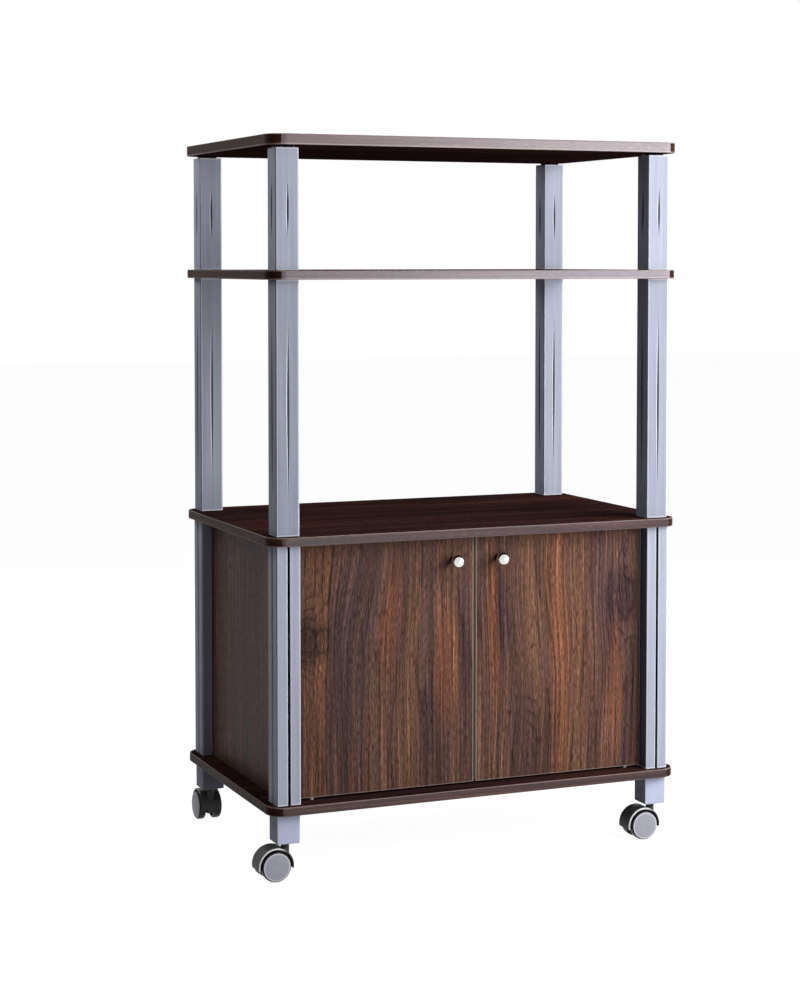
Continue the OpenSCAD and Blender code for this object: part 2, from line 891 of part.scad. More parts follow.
top_shelf();
middle_shelf();
cabinet_top();
base_board();
upper_post(FL);  // front_left_upper_post
upper_post(FR);  // front_right_upper_post
upper_post(RL);  // rear_left_upper_post
upper_post(RR);  // rear_right_upper_post
middle_post(FL);  // front_left_middle_post
middle_post(FR);  // front_right_middle_post
middle_post(RL);  // rear_left_middle_post
middle_post(RR);  // rear_right_middle_post
cabinet_post(FL);  // front_left_cabinet_post
cabinet_post(FR);  // front_right_cabinet_post
cabinet_post(RL);  // rear_left_cabinet_post
cabinet_post(RR);  // rear_right_cabinet_post
foot(FL);  // front_left_foot
foot(FR);  // front_right_foot
foot(RL);  // rear_left_foot
foot(RR);  // rear_right_foot
top_connectors();
middle_connectors();
cabinet_connectors();
base_connectors();
left_side_panel();
right_side_panel();
back_panel();
left_door();
right_door();
left_knob();
right_knob();
left_knob_screw();
right_knob_screw();
left_door_bushes();
right_door_bushes();
hinge_pins();
catch_housing();
catch_magnets();
catch_screws();
left_strike_plate();
right_strike_plate();
caster_sockets();
caster_stems();
caster_housing(0);  // front_left_caster_housing
caster_housing(1);  // front_right_caster_housing
caster_housing(2);  // rear_left_caster_housing
caster_housing(3);  // rear_right_caster_housing
caster_axle(0);  // front_left_caster_axle
caster_axle(1);  // front_right_caster_axle
caster_axle(2);  // rear_left_caster_axle
caster_axle(3);  // rear_right_caster_axle
wheel(0, -1);  // front_left_wheel_a
wheel(0, 1);  // front_left_wheel_b
wheel(1, -1);  // front_right_wheel_a
wheel(1, 1);  // front_right_wheel_b
wheel(2, -1);  // rear_left_wheel_a
wheel(2, 1);  // rear_left_wheel_b
wheel(3, -1);  // rear_right_wheel_a
wheel(3, 1);  // rear_right_wheel_b
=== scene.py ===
import json
import math

import bpy
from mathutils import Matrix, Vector


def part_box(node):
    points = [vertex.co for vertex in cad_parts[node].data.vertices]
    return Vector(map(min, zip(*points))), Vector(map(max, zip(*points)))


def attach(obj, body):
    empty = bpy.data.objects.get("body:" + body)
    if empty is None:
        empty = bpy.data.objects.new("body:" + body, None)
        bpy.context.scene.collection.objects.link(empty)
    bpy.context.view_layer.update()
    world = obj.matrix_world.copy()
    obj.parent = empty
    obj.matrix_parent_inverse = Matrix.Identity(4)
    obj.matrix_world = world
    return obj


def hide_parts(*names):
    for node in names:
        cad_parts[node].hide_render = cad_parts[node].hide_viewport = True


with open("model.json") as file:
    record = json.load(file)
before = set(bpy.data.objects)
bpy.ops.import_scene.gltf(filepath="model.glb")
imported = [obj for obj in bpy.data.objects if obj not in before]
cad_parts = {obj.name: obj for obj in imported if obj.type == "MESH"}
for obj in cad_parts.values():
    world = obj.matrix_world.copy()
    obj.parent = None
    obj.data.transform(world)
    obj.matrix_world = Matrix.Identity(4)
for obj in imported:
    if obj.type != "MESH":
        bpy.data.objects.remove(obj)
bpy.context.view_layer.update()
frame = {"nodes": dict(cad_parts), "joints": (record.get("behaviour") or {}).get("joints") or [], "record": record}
nodes = frame["nodes"]
scene = bpy.context.scene

CORNERS = ("front_left", "front_right", "rear_left", "rear_right")
QUARTER = math.pi / 2

# Lengths in metres, in the frame of the part
POST_X, POST_Y = 0.272, 0.1595  # post axes, the same to all four sides
CABINET_POST, SPINDLE_POST = (0.033, 0.036), (0.032, 0.032)  # width, depth
CABINET_POST_ENDS = (0.100, 0.439)
SPINDLE_POST_ENDS = (0.451, 0.783, 0.795, 0.953)
MIDDLE_SHELF_Z = 0.789
GROOVE_WIDTH, GROOVE_DEPTH = 0.004, 0.0015
# The knobs' bright front gives way to the painted dark reflection between these levels.
BALL_FRONT_Y, BALL_BACK_Y = -0.1790, -0.1772  # where the knobs' bright front gives way
CAP_RADIUS = 0.0184
CAP_FROM, HOOD_LIP_FROM = 0.0160, 0.0136  # along the axle, from the middle between its wheels

# Linear colours
# Painted highlight on the rounded arrises of the foiled boards, doors and panels.
ARRIS_HIGHLIGHT = (0.30, 0.22, 0.19)
# Painted highlight along the lower arris of the shelves' edge bands.
BAND_LOWER_HIGHLIGHT = (0.52, 0.46, 0.45)
# Painted highlight along the doors' free edges at the seam, and along their lower edges.
DOOR_EDGE_HIGHLIGHT = (0.60, 0.51, 0.45)
POST_SILVER, FOOT_SILVER, CAP_SILVER = (0.44, 0.46, 0.565), (0.57, 0.60, 0.78), (0.40, 0.40, 0.46)
# Painted highlights: on the posts' arrises, ends and channel lips, on the feet's arrises, and round the caster
# caps' rims.
POST_EDGE_HIGHLIGHT, FOOT_EDGE_HIGHLIGHT, CAP_RIM_HIGHLIGHT = (0.84, 0.86, 0.96), (0.88, 0.90, 0.98), (0.80, 0.80, 0.85)
# Painted shade: beside the posts' arrises on their sides, on the groove walls that look left, and on the feet's
# sides and the rear feet.
POST_SIDE_SHADE, GROOVE_WALL_SHADE, FOOT_SHADE = (0.10, 0.10, 0.15), (0.03, 0.03, 0.05), (0.13, 0.12, 0.11)
# Painted shade deep in the cabinet posts' channels and the spindle posts' grooves.
CHANNEL_SHADE, GROOVE_SHADE = (0.006, 0.006, 0.009), (0.04, 0.04, 0.06)
TREAD_BLACK = (0.014, 0.014, 0.016)
# Painted highlight on the hood lips.
HOOD_CHARCOAL, HOOD_LIP_HIGHLIGHT = (0.055, 0.055, 0.057), (0.92, 0.92, 0.92)
# Painted dark reflection on the knobs' necks and the rear of the balls.
CHROME, CHROME_DARK_REFLECTION = (0.72, 0.71, 0.68), (0.012, 0.010, 0.010)


# ------------------------------------------------------------------ formulas and nodes

def plug(tree, socket, value):
    """Links a socket or term to an input, or writes a plain value into it."""
    value = getattr(value, "socket", value)
    if isinstance(value, bpy.types.NodeSocket):
        tree.links.new(value, socket)
    else:
        socket.default_value = value


def put(tree, kind, settings=None, inputs=None):
    """Adds a node with its settings, and fills its inputs by name or number."""
    node = tree.nodes.new(kind)
    for name, value in (settings or {}).items():
        setattr(node, name, value)
    for name, value in (inputs or {}).items():
        plug(tree, node.inputs[name], value)
    return node


class Term:
    """A value in a node tree; formulas with terms add the Math nodes that work them out."""

    def __init__(self, tree, socket):
        self.tree, self.socket = tree, socket

    def math(self, operation, *others):
        node = put(self.tree, "ShaderNodeMath", {"operation": operation},
                   dict(enumerate((self, *others))))
        return Term(self.tree, node.outputs[0])

    def __add__(self, other):
        return self.math("ADD", other)

    def __sub__(self, other):
        return self.math("SUBTRACT", other)

    def __mul__(self, other):
        return self.math("MULTIPLY", other)

    def __truediv__(self, other):
        return self.math("DIVIDE", other)

    def __rsub__(self, other):
        return self.math("MULTIPLY_ADD", -1.0, other)

    def __abs__(self):
        return self.math("ABSOLUTE")

    __radd__ = __add__

    def over(self, limit):
        """1 above the limit, 0 below it."""
        return self.math("GREATER_THAN", limit)

    def least(self, other):
        return self.math("MINIMUM", other)

    def most(self, other):
        return self.math("MAXIMUM", other)

    def spread(self, low, high, to_low=0.0, to_high=1.0):
        """Maps low..high onto to_low..to_high and holds it there."""
        node = put(self.tree, "ShaderNodeMapRange", {"clamp": True},
                   {"Value": self, "From Min": low, "From Max": high,
                    "To Min": to_low, "To Max": to_high})
        return Term(self.tree, node.outputs["Result"])


def split(tree, vector):
    """The three terms of a vector."""
    parts = put(tree, "ShaderNodeSeparateXYZ", None, {"Vector": vector}).outputs
    return [Term(tree, part) for part in parts]


def join(tree, x, y, z):
    """A vector from three terms or numbers."""
    return put(tree, "ShaderNodeCombineXYZ", None, {"X": x, "Y": y, "Z": z}).outputs["Vector"]


def vector_maths(tree, operation, *values):
    """Socket with the outcome of a Vector Math node."""
    node = put(tree, "ShaderNodeVectorMath", {"operation": operation}, dict(enumerate(values)))
    return node.outputs["Value" if operation in ("LENGTH", "DOT_PRODUCT") else "Vector"]


def scaled(tree, vector, factor):
    """The vector or colour times one term."""
    return vector_maths(tree, "MULTIPLY", vector, join(tree, factor, factor, factor))


def mix_colour(tree, share, low, high, blend="MIX"):
    """Colour between low (share 0) and high (share 1); both are colours or sockets."""
    node = put(tree, "ShaderNodeMix", {"data_type": "RGBA", "blend_type": blend}, {"Factor": share})
    for name, value in (("A", low), ("B", high)):
        socket = next(s for s in node.inputs if s.name == name and s.type == "RGBA")
        plug(tree, socket, (*value, 1.0) if isinstance(value, tuple) else value)
    return next(s for s in node.outputs if s.type == "RGBA")


def ramp(tree, value, stops):
    """Colour ramp with stops (position, colour) or (position, grey)."""
    node = put(tree, "ShaderNodeValToRGB", None, {"Fac": value})
    elements = node.color_ramp.elements
    while len(elements) < len(stops):
        elements.new(0.5)
    for element, (position, colour) in zip(elements, stops):
        element.position = position
        element.color = (*colour, 1.0) if isinstance(colour, tuple) else (colour,) * 3 + (1.0,)
    return node.outputs["Color"]


def noise(tree, place, scale, detail=2.0, roughness=0.5):
    """Noise from 0 to 1 about 0.5, with scale in cells a metre."""
    node = put(tree, "ShaderNodeTexNoise", {"noise_dimensions": "3D"},
               {"Vector": place, "Scale": scale, "Detail": detail, "Roughness": roughness})
    return Term(tree, node.outputs["Fac"])


def new_tree(name, kind, inputs, outputs):
    """Node group with named sockets; gives it with its terms by input name and its outputs."""
    tree = bpy.data.node_groups.new(name, kind)
    for label, socket_type, default in inputs:
        socket = tree.interface.new_socket(label, in_out="INPUT", socket_type=socket_type)
        if default is not None:
            socket.default_value = default
    for label, socket_type in outputs:
        tree.interface.new_socket(label, in_out="OUTPUT", socket_type=socket_type)
    given = tree.nodes.new("NodeGroupInput").outputs
    terms = {label: Term(tree, given[label]) for label, _, _ in inputs}
    return tree, terms, tree.nodes.new("NodeGroupOutput").inputs


def use_group(tree, group, inputs):
    """Outputs of a shared group that is given these inputs."""
    return put(tree, "ShaderNodeGroup", {"node_tree": group}, inputs).outputs


def new_material(name, **principled):
    """Material with a Principled BSDF whose named sockets get the values."""
    material = bpy.data.materials.new(name)
    material.use_nodes = True
    shader = material.node_tree.nodes["Principled BSDF"]
    for socket, value in principled.items():
        shader.inputs[socket.replace("_", " ")].default_value = value
    return material, material.node_tree, shader


def object_place(tree):
    """Place on the piece at rest, which moves along with it."""
    return put(tree, "ShaderNodeTexCoord").outputs["Object"]


def object_normal(tree):
    """Direction that the surface faces on the piece at rest."""
    return put(tree, "ShaderNodeTexCoord").outputs["Normal"]


# ------------------------------------------------------------------ boards and spindle posts

def fluted_block_tree():
    """Upright block with rounded corners and edges, and a boat-shaped groove down each side.

    A grid is wrapped round the block. Its columns run round the section: an arc at each
    corner, then the groove's two lips and its bottom. Its rows run from the middle of the
    bottom to that of the top.
    """
    size = "NodeSocketFloat"
    count = "NodeSocketInt"
    tree, given, out = new_tree(
        "FlutedBlock", "GeometryNodeTree",
        [("Base", "NodeSocketVector", (0, 0, 0)), ("Width", size, 0.032), ("Depth", size, 0.032),
         ("Height", size, 0.2), ("Corner Radius", size, 0.002), ("Edge Radius", size, 0.001),
         ("Groove Length", size, 0.1), ("Groove Width", size, 0.0), ("Groove Depth", size, 0.0),
         ("Corner Steps", count, 4), ("Edge Steps", count, 1), ("Groove Steps", count, 2),
         ("Front Finish", "NodeSocketMaterial", None), ("Side Finish", "NodeSocketMaterial", None),
         ("End Finish", "NodeSocketMaterial", None)],
        [("Block", "NodeSocketGeometry")])
    corner, edge = given["Corner Radius"], given["Edge Radius"]
    half_x, half_y = given["Width"] * 0.5, given["Depth"] * 0.5
    arc_steps, edge_steps = given["Corner Steps"], given["Edge Steps"]
    groove_steps = given["Groove Steps"]
    per_side = arc_steps + 4.0
    end_rows = edge_steps + 2.0
    last_column = per_side * 4.0
    last_row = end_rows * 2.0 + groove_steps - 1.0

    grid = put(tree, "GeometryNodeMeshGrid", None,
               {"Size X": last_column, "Size Y": last_row, "Vertices X": last_column + 1.0,
                "Vertices Y": last_row + 1.0})
    place_x, place_y, _ = split(tree, put(tree, "GeometryNodeInputPosition").outputs[0])
    column = (place_x + last_column * 0.5).math("ROUND")
    row = (place_y + last_row * 0.5).math("ROUND")
    side = ((column + 0.01) / per_side).math("FLOOR")
    step = column - side * per_side
    turn = side * QUARTER
    along_x, along_y = turn.math("COSINE"), turn.math("SINE")

    # Rows: end face, rounded edge, groove, rounded edge, end face
    from_end = row.least(last_row - row)
    upper = row.over(last_row * 0.5)
    lift = (from_end - 1.0).most(0.0).least(edge_steps) / edge_steps * QUARTER
    inset = edge * (1.0 - lift.math("SINE"))
    rise = edge * (1.0 - lift.math("COSINE"))
    rise = rise + upper * (given["Height"] - rise * 2.0)
    share = (row - end_rows) / (groove_steps - 1.0)
    grooved = from_end.over(end_rows - 0.5)
    middle = given["Height"] * 0.5 + given["Groove Length"] * (share - 0.5)
    z = rise + grooved * (middle - rise)
    bow = (1.0 - (share * 2.0 - 1.0).math("POWER", 2.0)).most(0.0) * grooved

    # Columns: corner arc, groove lip, groove bottom, groove lip
    swing = (step / arc_steps).least(1.0)
    angle = turn + swing * QUARTER + math.pi
    centre = turn + (math.pi + QUARTER / 2)
    arc_x = centre.math("COSINE").math("SIGN") * (half_x - corner)
    arc_x = arc_x + (corner - inset) * angle.math("COSINE")
    arc_y = centre.math("SINE").math("SIGN") * (half_y - corner)
    arc_y = arc_y + (corner - inset) * angle.math("SINE")
    lip = step - arc_steps - 2.0
    slide = lip * given["Groove Width"] * bow * 0.5
    out_to = half_y * abs(along_x) + half_x * abs(along_y) - inset
    out_to = out_to - given["Groove Depth"] * bow * (1.0 - abs(lip))
    in_groove = step.over(arc_steps + 0.5)
    x = arc_x + in_groove * (along_x * slide + along_y * out_to - arc_x)
    y = arc_y + in_groove * (along_y * slide - along_x * out_to - arc_y)
    spread_out = from_end.over(0.5)
    block_place = vector_maths(tree, "ADD", given["Base"],
                               join(tree, x * spread_out, y * spread_out, z))

    # Length run round the sides, for the pattern of an edge band
    arc = corner * QUARTER
    run = side * arc + (side * 0.5).math("CEIL") * (half_x - corner) * 2.0
    run = run + (side * 0.5).math("FLOOR") * (half_y - corner) * 2.0 + swing * arc
    half_side = half_x * abs(along_x) + half_y * abs(along_y) - corner
    run = run + in_groove * (half_side + slide)

    banded = put(tree, "GeometryNodeStoreNamedAttribute",
                 {"data_type": "FLOAT2", "domain": "CORNER"},
                 {"Geometry": grid.outputs["Mesh"], "Name": "band",
                  "Value": join(tree, run, z, 0.0)})
    wrapped = put(tree, "GeometryNodeSetPosition", None,
                  {"Geometry": banded.outputs[0], "Position": block_place})
    closed = put(tree, "GeometryNodeMergeByDistance", None,
                 {"Geometry": wrapped.outputs[0], "Distance": 0.000004})
    bent = Term(tree, put(tree, "GeometryNodeInputMeshEdgeAngle").outputs["Unsigned Angle"])
    creased = put(tree, "GeometryNodeSetShadeSmooth", {"domain": "EDGE"},
                  {"Geometry": closed.outputs[0], "Selection": bent.over(math.radians(32)),
                   "Shade Smooth": False})
    facing_x, _, facing_z = split(tree, put(tree, "GeometryNodeInputNormal").outputs["Normal"])
    finished = creased
    for finish, chosen in (("Front Finish", True), ("Side Finish", abs(facing_x).over(0.36)),
                           ("End Finish", abs(facing_z).over(0.985))):
        finished = put(tree, "GeometryNodeSetMaterial", None,
                       {"Geometry": finished.outputs[0], "Selection": chosen,
                        "Material": given[finish]})
    real = put(tree, "GeometryNodeRealizeInstances", None, {"Geometry": finished.outputs[0]})
    tree.links.new(real.outputs[0], out["Block"])
    return tree


def grow(name, tree, values):
    """Plain mesh object that the tree makes with these input values."""
    seed = bpy.data.objects.new(name + "_seed", bpy.data.meshes.new(name + "_seed"))
    scene.collection.objects.link(seed)
    modifier = seed.modifiers.new("shape", "NODES")
    modifier.node_group = tree
    sockets = {item.name: item.identifier for item in tree.interface.items_tree
               if item.item_type == "SOCKET" and item.in_out == "INPUT"}
    for label, value in values.items():
        modifier[sockets[label]] = value
    weighted = seed.modifiers.new("flat_faces", "WEIGHTED_NORMAL")
    weighted.keep_sharp = True
    bpy.context.view_layer.update()
    depsgraph = bpy.context.evaluated_depsgraph_get()
    mesh = bpy.data.meshes.new_from_object(seed.evaluated_get(depsgraph))
    bpy.data.objects.remove(seed)
    piece = bpy.data.objects.new(name, mesh)
    mesh.name = name
    scene.collection.objects.link(piece)
    return piece


def stand_in(node, form, tree, slot, **values):
    """Grows a block in the space of a CAD node and shows it in the node's place."""
    low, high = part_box(node)
    middle = (low + high) / 2
    sizes = {"Base": (middle.x, middle.y, low.z), "Width": high.x - low.x,
             "Depth": high.y - low.y, "Height": high.z - low.z}
    sizes.update({label.replace("_", " "): value for label, value in values.items()})
    piece = grow(f"{node}_{form}", tree, sizes)
    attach(piece, "root")
    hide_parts(node)


def foiled_boards(tree, boards, face, front, side):
    """Boards with foiled faces, and an edge band that runs round them."""
    for board in boards:
        stand_in(board, "banded", tree, "walnut_board", Corner_Radius=0.024, Edge_Radius=0.0012,
                 Corner_Steps=14, Edge_Steps=3, Groove_Length=0.004,
                 Front_Finish=front, Side_Finish=side, End_Finish=face)


def spindle_posts(tree, finish):
    """Upper and middle posts, with the groove that a V-rimmed disc leaves in each side."""
    for part, length in (("upper_post", 0.072), ("middle_post", 0.240)):
        for corner in CORNERS:
            stand_in(f"{corner}_{part}", "fluted", tree, "silver_plastic", Corner_Radius=0.002,
                     Edge_Radius=0.001, Corner_Steps=6, Edge_Steps=2, Groove_Steps=49,
                     Groove_Length=length, Groove_Width=GROOVE_WIDTH, Groove_Depth=GROOVE_DEPTH,
                     Front_Finish=finish, Side_Finish=finish, End_Finish=finish)


# ------------------------------------------------------------------ walnut foil

def grain_bend_group():
    """Leads the grain aside (Shift) or round a knot (Bulge) near one place."""
    group, given, out = new_tree(
        "GrainBend", "ShaderNodeTree",
        [("Place", "NodeSocketVector", (0, 0, 0)), ("Centre", "NodeSocketVector", (0, 0, 0)),
         ("Reach", "NodeSocketVector", (0.03, 0.08, 1)), ("Shift", "NodeSocketFloat", 0.0),
         ("Bulge", "NodeSocketFloat", 0.0)],
        [("Place", "NodeSocketVector"), ("Weight", "NodeSocketFloat")])
    away = vector_maths(group, "SUBTRACT", given["Place"], given["Centre"])
    x, y, _ = split(group, vector_maths(group, "DIVIDE", away, given["Reach"]))
    weight = (0.0 - (x * x + y * y)).math("EXPONENT")
    push = weight * (given["Shift"] + given["Bulge"] * x)
    moved = vector_maths(group, "SUBTRACT", given["Place"], join(group, push, 0.0, 0.0))
    plug(group, out["Place"], moved)
    plug(group, out["Weight"], weight)
    return group


def tone_zone_group():
    """Tints the wood inside a soft oval that follows the grain."""
    group, given, out = new_tree(
        "ToneZone", "ShaderNodeTree",
        [("Color", "NodeSocketColor", (0.1, 0.1, 0.1, 1)), ("Place", "NodeSocketVector", (0, 0, 0)),
         ("Centre", "NodeSocketVector", (0, 0, 0)), ("Reach", "NodeSocketVector", (0.03, 0.08, 1)),
         ("Tone", "NodeSocketVector", (1, 1, 1))],
        [("Color", "NodeSocketColor")])
    away = vector_maths(group, "SUBTRACT", given["Place"], given["Centre"])
    x, y, _ = split(group, vector_maths(group, "DIVIDE", away, given["Reach"]))
    square = x * x + y * y
    weight = (0.0 - square * square).math("EXPONENT")
    tone = vector_maths(group, "SUBTRACT", given["Tone"], (1.0, 1.0, 1.0))
    tone = vector_maths(group, "ADD", scaled(group, tone, weight), (1.0, 1.0, 1.0))
    plug(group, out["Color"], vector_maths(group, "MULTIPLY", given["Color"], tone))
    return group


def walnut_group():
    """Walnut figure: X across the grain, Y along it, Z picks the plank, all in metres."""
    group, given, out = new_tree(
        "WalnutFigure", "ShaderNodeTree",
        [("Place", "NodeSocketVector", (0, 0, 0)), ("Warmth", "NodeSocketFloat", 0.0),
         ("Waviness", "NodeSocketFloat", 1.0), ("Figure", "NodeSocketFloat", 0.0)],
        [("Color", "NodeSocketColor"), ("Place", "NodeSocketVector"), ("Pores", "NodeSocketFloat"),
         ("Height", "NodeSocketFloat")])
    x, y, z = split(group, given["Place"])
    wide = noise(group, join(group, x, y * 0.3, z), 6.0, 1.0) - 0.5
    small = noise(group, join(group, x, y * 0.45, z), 34.0, 1.0) - 0.5
    across = x + (wide * 0.032 + small * 0.0028) * given["Waviness"]

    def along(stretch):
        return join(group, across, y * stretch, z)

    bands = noise(group, along(0.05), 26.0, 2.0, 0.5)
    lanes = noise(group, along(0.03), 90.0, 2.0, 0.6)
    streaks = noise(group, along(0.014), 330.0, 3.0, 0.65)
    pores = noise(group, along(0.10), 1000.0, 1.0, 0.6)
    ring = (across * 105.0 + bands * 8.0 + lanes * 1.2 + given["Figure"]).math("FRACT")
    warm = bands * 0.55 + lanes * 0.45 + given["Warmth"]
    body = ramp(group, warm, [(0.36, (0.068, 0.039, 0.040)), (0.46, (0.098, 0.052, 0.044)),
                              (0.55, (0.130, 0.066, 0.050)), (0.65, (0.185, 0.092, 0.058))])
    late = ramp(group, ring, [(0.0, 1.10), (0.60, 1.0), (0.82, 0.84), (0.90, 0.46), (0.95, 0.50),
                              (1.0, 1.10)])
    colour = mix_colour(group, 0.85, body, late, "MULTIPLY")
    line = ramp(group, streaks, [(0.34, 0.40), (0.43, 0.88), (0.56, 1.06), (0.66, 1.70)])
    colour = mix_colour(group, 1.0, colour, line, "MULTIPLY")
    fine = ramp(group, pores, [(0.32, 0.42), (0.46, 1.0), (0.56, 1.0), (0.68, 1.60)])
    colour = mix_colour(group, 1.0, colour, fine, "MULTIPLY")
    plug(group, out["Color"], colour)
    plug(group, out["Place"], join(group, across, y, z))
    plug(group, out["Pores"], pores.spread(0.36, 0.5))
    plug(group, out["Height"], streaks * 0.6 + pores * 0.4)
    return group


def arris_group():
    """1 on the rounded arrises of a squared piece, 0 on its faces."""
    group, given, out = new_tree(
        "Arris", "ShaderNodeTree", [("Normal", "NodeSocketVector", (0, 0, 1))],
        [("Mask", "NodeSocketFloat")])
    x, y, z = (abs(part) for part in split(group, given["Normal"]))
    plug(group, out["Mask"], x.most(y).most(z).spread(0.93, 0.995, 1.0, 0.0))
    return group


WALNUT = walnut_group()
BEND = grain_bend_group()
ZONE = tone_zone_group()
ARRIS = arris_group()


def foil_surface(tree, shader, colour, wood, arris, dull, bright):
    """Colour with a painted highlight on its arrises, and the roughness and relief of the printed foil.

    arris: share of the painted highlight there. dull, bright: roughness in the pores and beside them.
    """
    # Painted highlight along the rounded arrises.
    painted_highlight = use_group(tree, ARRIS, {"Normal": object_normal(tree)})["Mask"]
    colour = mix_colour(tree, Term(tree, painted_highlight) * arris, colour, ARRIS_HIGHLIGHT)
    plug(tree, shader.inputs["Base Color"], colour)
    plug(tree, shader.inputs["Roughness"], Term(tree, wood["Pores"]).spread(0.0, 1.0, dull, bright))
    relief = put(tree, "ShaderNodeBump", None,
                 {"Strength": 0.3, "Distance": 0.0002, "Height": wood["Height"]})
    plug(tree, shader.inputs["Normal"], relief.outputs["Normal"])


def board_face_foil():
    """Upper and lower faces of the boards, with the grain from left to right, darkened as painted shade."""
    material, tree, shader = new_material("board_face_foil", Specular_IOR_Level=0.0)
    x, y, z = split(tree, object_place(tree))
    wood = use_group(tree, WALNUT, {"Place": join(tree, y, x, z), "Warmth": -0.06, "Waviness": 0.5})
    # Painted shade: the same walnut, darkened on the boards' faces.
    dark = vector_maths(tree, "MULTIPLY", wood["Color"], (0.55, 0.44, 0.46))
    foil_surface(tree, shader, dark, wood, 0.35, 0.60, 0.46)
    return material


def edge_band_foil(name, gloss, tone, lower_highlight=0.0):
    """Edge band with its grain round the board; only its horizontal arrises get the painted highlight.

    gloss: specular level. tone: factor on the wood's colour; darker on the side bands as painted
    shade. lower_highlight: share of the painted highlight along the lower arris.
    """
    material, tree, shader = new_material(name, Specular_IOR_Level=gloss)
    band = put(tree, "ShaderNodeUVMap", {"uv_map": "band"}).outputs["UV"]
    run, up, _ = split(tree, band)
    level = split(tree, object_place(tree))[2]
    wood = use_group(tree, WALNUT, {"Place": join(tree, up + level, run, 0.3), "Warmth": 0.02,
                                    "Waviness": 0.3})
    toned = vector_maths(tree, "MULTIPLY", wood["Color"], tone)
    # Painted highlight along the lower arris.
    toned = mix_colour(tree, up.spread(0.0012, 0.0022, lower_highlight, 0.0), toned, BAND_LOWER_HIGHLIGHT)
    shader.inputs["Specular Tint"].default_value = (0.94, 0.92, 1.0, 1.0)
    # Painted highlight on the horizontal arrises only.
    painted_highlight = abs(split(tree, object_normal(tree))[2]).spread(0.05, 0.25, 0.0, 0.75)
    foil_surface(tree, shader, toned, wood, painted_highlight, 0.46, 0.36)
    return material


def upright_foil(name, node, across, seed, warmth, bends=(), zones=(), edge_highlight=0.0):
    """Doors and panels: grain runs upwards; places are measured from the node's upper corner.

    across: axis of the node's width. seed: picks the plank. bends: (across, down), reach, shift,
    bulge, rings nested there. zones: (across, down), reach, tone. edge_highlight: share of the
    painted highlight along the free edge, and half of it along the lower edge.
    """
    material, tree, shader = new_material(name, Specular_IOR_Level=0.04)
    low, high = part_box(node)
    parts = split(tree, object_place(tree))
    place = join(tree, parts[across] - low[across], high.z - parts[2], seed)
    figure = 0.0
    for centre, reach, shift, bulge, rings in bends:
        bent = use_group(tree, BEND, {"Place": place, "Centre": (*centre, seed),
                                      "Reach": (*reach, 1.0), "Shift": shift, "Bulge": bulge})
        place = bent["Place"]
        figure = Term(tree, bent["Weight"]) * rings + figure
    wood = use_group(tree, WALNUT, {"Place": place, "Warmth": warmth, "Figure": figure})
    colour = wood["Color"]
    for centre, reach, tone in zones:
        colour = use_group(tree, ZONE, {"Color": colour, "Place": wood["Place"],
                                        "Centre": (*centre, seed), "Reach": (*reach, 1.0),
                                        "Tone": tone})["Color"]
    # Painted highlight along the free edge at the seam, and half as strong along the lower edge.
    if edge_highlight:
        free_edge = min(low[across], high[across], key=abs)
        rim = abs(parts[across] - free_edge).spread(0.0006, 0.0015, edge_highlight, 0.0)
        rim = rim.most((parts[2] - low.z).spread(0.0004, 0.0011, edge_highlight * 0.5, 0.0))
        colour = mix_colour(tree, rim, colour, DOOR_EDGE_HIGHLIGHT)
    foil_surface(tree, shader, colour, wood, 0.55, 0.56, 0.44)
    return material


def left_door_foil():
    """A knot at the left edge, grain that leans in above it, and a warm band near the seam."""
    bends = [((0.004, 0.127), (0.034, 0.044), -0.004, 0.016, 5.0),
             ((0.100, 0.000), (0.060, 0.110), 0.030, 0.0, 0.0),
             ((0.095, 0.030), (0.024, 0.080), 0.0, 0.0, 3.0)]
    zones = [((0.004, 0.127), (0.034, 0.036), (0.42, 0.48, 0.62)),
             ((0.018, 0.170), (0.020, 0.300), (1.55, 1.35, 1.00)),
             ((0.075, 0.120), (0.034, 0.160), (0.72, 0.80, 0.98)),
             ((0.122, 0.100), (0.016, 0.080), (1.35, 1.08, 0.92)),
             ((0.060, 0.290), (0.040, 0.100), (0.86, 0.88, 0.95)),
             ((0.205, 0.165), (0.017, 0.085), (1.75, 1.38, 1.02)),
             ((0.180, 0.200), (0.012, 0.120), (0.85, 0.90, 1.00)),
             ((0.236, 0.120), (0.010, 0.090), (0.75, 0.82, 0.95))]
    return upright_foil("left_door_foil", "left_door", 0, 0.20, 0.02, bends, zones, 0.75)


def right_door_foil():
    """A warm band in the middle, dark streaks left of it, and a soft knot at the upper right."""
    bends = [((0.219, 0.100), (0.026, 0.055), 0.0, 0.014, 2.5),
             ((0.074, 0.205), (0.022, 0.070), 0.0, -0.010, 5.0),
             ((0.108, 0.060), (0.050, 0.110), -0.012, 0.0, 0.0)]
    zones = [((0.219, 0.095), (0.020, 0.040), (0.62, 0.66, 0.78)),
             ((0.026, 0.120), (0.009, 0.120), (1.55, 1.28, 1.00)),
             ((0.038, 0.110), (0.008, 0.060), (0.62, 0.66, 0.90)),
             ((0.070, 0.290), (0.028, 0.085), (0.66, 0.70, 0.84)),
             ((0.130, 0.160), (0.014, 0.300), (1.90, 1.55, 1.12)),
             ((0.160, 0.140), (0.018, 0.200), (1.15, 1.10, 1.00)),
             ((0.205, 0.060), (0.030, 0.130), (0.84, 0.86, 1.02)),
             ((0.212, 0.230), (0.014, 0.100), (1.35, 1.10, 0.96))]
    return upright_foil("right_door_foil", "right_door", 0, 0.83, 0.05, bends, zones, 0.75)


# ------------------------------------------------------------------ plastics and metals

